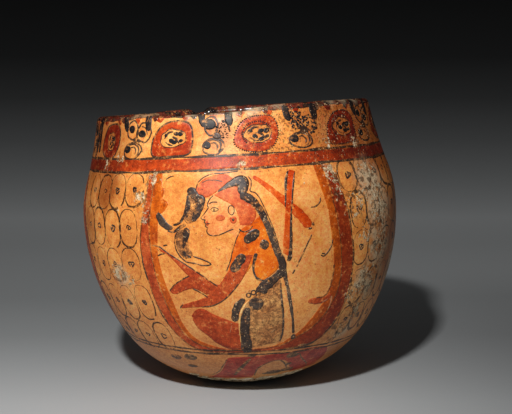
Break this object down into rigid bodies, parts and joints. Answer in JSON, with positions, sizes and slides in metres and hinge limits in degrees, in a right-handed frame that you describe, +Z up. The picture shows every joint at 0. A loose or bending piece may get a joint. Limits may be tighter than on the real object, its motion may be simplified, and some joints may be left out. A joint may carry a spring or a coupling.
{
  "type": "painted pottery bowl",
  "caption": "Round-sided fired-clay bowl with a slightly leaning in-curved wall, a small flat foot and burnished slip-painted bands and framed ovals.",
  "frame": {"origin": "centre of the flat resting foot, on the surface that the bowl stands on", "axes": "+Z up out of the mouth; -Y towards the painted front; +X to the right as seen from the front"},
  "size_m": [0.1602, 0.16, 0.1421],
  "materials": {
    "fired_clay": "matt, bare where it rests",
    "orange_ground_slip": "burnished slip, worn",
    "inner_slip": "smoothed slip",
    "dark_red_slip": "burnished slip, worn",
    "red_slip": "burnished slip, worn",
    "orange_paint": "burnished slip, worn",
    "black_slip": "burnished slip, worn"
  },
  "bodies": {
    "root": {"clay_body": "fired_clay", "outer_slip": "orange_ground_slip", "inner_slip": "inner_slip", "lip_paint": "dark_red_slip", "shoulder_band": "red_slip", "shoulder_line_upper": "black_slip", "shoulder_line_lower": "black_slip", "basal_line_lower": "black_slip", "basal_line_upper": "black_slip", "oval_frame_red_front": "dark_red_slip", "oval_frame_red_right": "dark_red_slip", "oval_frame_red_left": "dark_red_slip", "oval_frame_orange_front": "orange_paint", "oval_frame_orange_right": "orange_paint", "oval_frame_orange_left": "orange_paint"}
  },
  "joints": []
}
